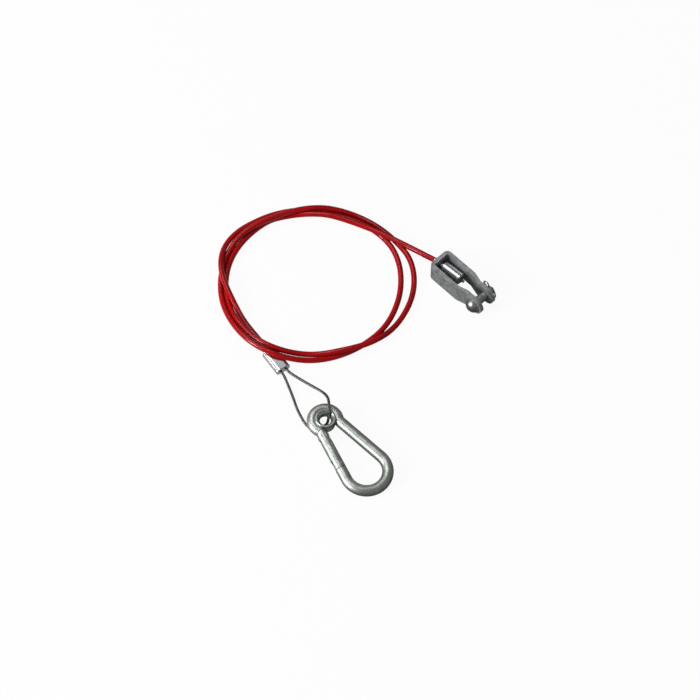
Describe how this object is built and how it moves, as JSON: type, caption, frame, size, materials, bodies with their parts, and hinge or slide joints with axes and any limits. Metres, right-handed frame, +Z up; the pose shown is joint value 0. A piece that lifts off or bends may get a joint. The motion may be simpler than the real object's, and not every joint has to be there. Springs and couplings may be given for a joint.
{
  "type": "breakaway cable",
  "caption": "Coiled plastic-coated steel safety cable with a spring hook on a bare end loop and a swivelling strip clevis with pin on the other end.",
  "frame": {"origin": "on the table, under the middle of the box round the hook and the clevis", "axes": "+Z up from the table, +Y from the hook towards the coil and the clevis, +X to the clevis's side"},
  "size_m": [0.1507, 0.1808, 0.0127],
  "materials": {
    "red_jacket": "glossy",
    "bare_rope": "stranded",
    "ferrule_metal": "pressed, satin",
    "zinc_plate": "bright zinc plated",
    "galvanised": "galvanised, matte",
    "pin_steel": "zinc plated, smooth",
    "spring_steel": "bright drawn"
  },
  "bodies": {
    "cable": {"cable_coil": "red_jacket", "cable_tail": "red_jacket", "rope_end": "bare_rope", "wire_loop": "bare_rope", "loop_ferrule": "ferrule_metal", "stop_ferrule": "ferrule_metal"},
    "hook": {"hook_frame": "zinc_plate", "eyelet": "zinc_plate"},
    "gate": {"gate": "zinc_plate", "gate_rivet": "zinc_plate", "catch_pin": "zinc_plate", "gate_spring": "spring_steel"},
    "plunger": {"gate_plunger": "pin_steel"},
    "clevis": {"clevis_fork": "galvanised"},
    "pin": {"clevis_pin": "pin_steel", "split_pin": "pin_steel"}
  },
  "joints": [
    {"name": "hook_swing", "type": "hinge", "parent": "cable", "child": "hook", "pos_m": [-0.0409, -0.0293, 0.0054], "axis": [0.0307, -0.041, 0.9987], "range_deg": [-75, 75]},
    {"name": "gate_open", "type": "hinge", "parent": "hook", "child": "gate", "pos_m": [-0.04163, -0.03893, 0.00503], "axis": [0.0307, -0.041, 0.9987], "range_deg": [0, 30], "stiffness_Nm_per_rad": 0.01, "springref_deg": -45.84, "deforming": ["gate_spring"]},
    {"name": "plunger_slide", "type": "slide", "parent": "gate", "child": "plunger", "axis": [0.4458, -0.8937, -0.0504], "range_m": [0, 0.0008]},
    {"name": "clevis_swivel", "type": "hinge", "parent": "cable", "child": "clevis", "pos_m": [0.0198, 0.06835, 0.00575], "axis": [0.7431, -0.6691, 0], "continuous": true},
    {"name": "pin_turn", "type": "hinge", "parent": "clevis", "child": "pin", "pos_m": [0.04227, 0.04508, 0.00575], "axis": [0.7193, 0.6947, 0], "continuous": true}
  ],
  "couplings": [
    {"joint": "plunger_slide", "follows": "gate_open", "m_per_rad": 0.001337}
  ]
}
